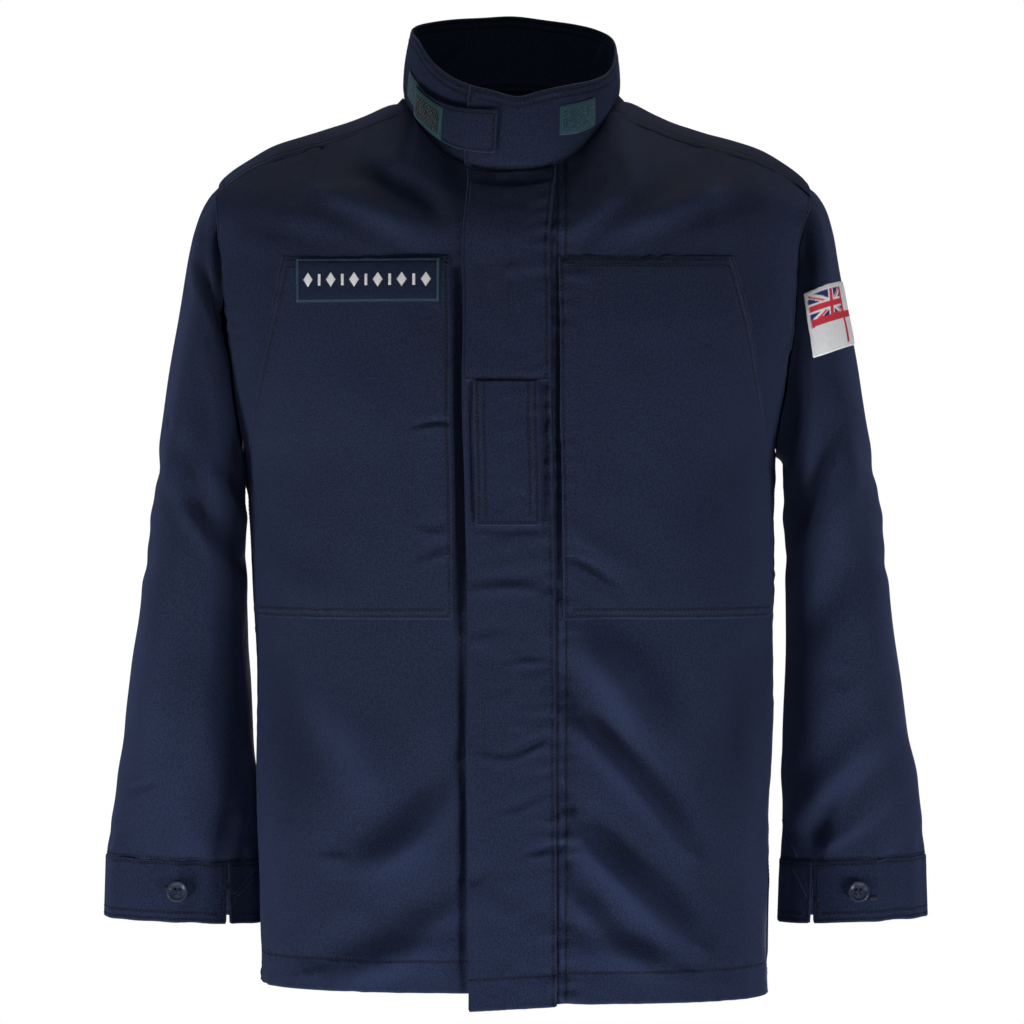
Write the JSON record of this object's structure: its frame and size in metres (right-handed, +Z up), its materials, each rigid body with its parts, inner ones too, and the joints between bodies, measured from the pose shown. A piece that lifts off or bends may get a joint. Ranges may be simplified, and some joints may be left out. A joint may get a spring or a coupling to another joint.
{
  "type": "field jacket",
  "caption": "Closed field jacket filled out as worn, with stand collar and tab, fly placket, large chest pockets, rank tab, sleeve flag and buttoned cuffs.",
  "frame": {"origin": "middle of the neck opening, level with the base of the neck at its sides, midway between the shoulders", "axes": "+Z up, the front faces -Y, +X towards the wearer's left"},
  "size_m": [0.6897, 0.2829, 0.8189],
  "materials": {
    "cloth": "dark navy cotton and polyamide twill, matte",
    "name_tape": "navy woven tape with a lighter border stitch",
    "loop_tape": "teal loop pile",
    "hook_tape": "dark green hook tape",
    "flag_cloth": "woven patch",
    "button": "glossy navy"
  },
  "bodies": {
    "root": {"right_front": "cloth", "left_front": "cloth", "back": "cloth", "right_sleeve": "cloth", "left_sleeve": "cloth", "collar": "cloth", "collar_tab": "cloth", "placket": "cloth", "placket_top": "cloth", "rank_tab": "cloth", "right_pocket": "cloth", "left_pocket": "cloth", "right_cuff": "cloth", "left_cuff": "cloth", "name_patch": "name_tape", "collar_loop_right": "loop_tape", "collar_loop_left": "loop_tape", "tab_hook_patch": "hook_tape", "flag_patch": "flag_cloth", "right_cuff_button": "button", "left_cuff_button": "button"}
  },
  "joints": []
}
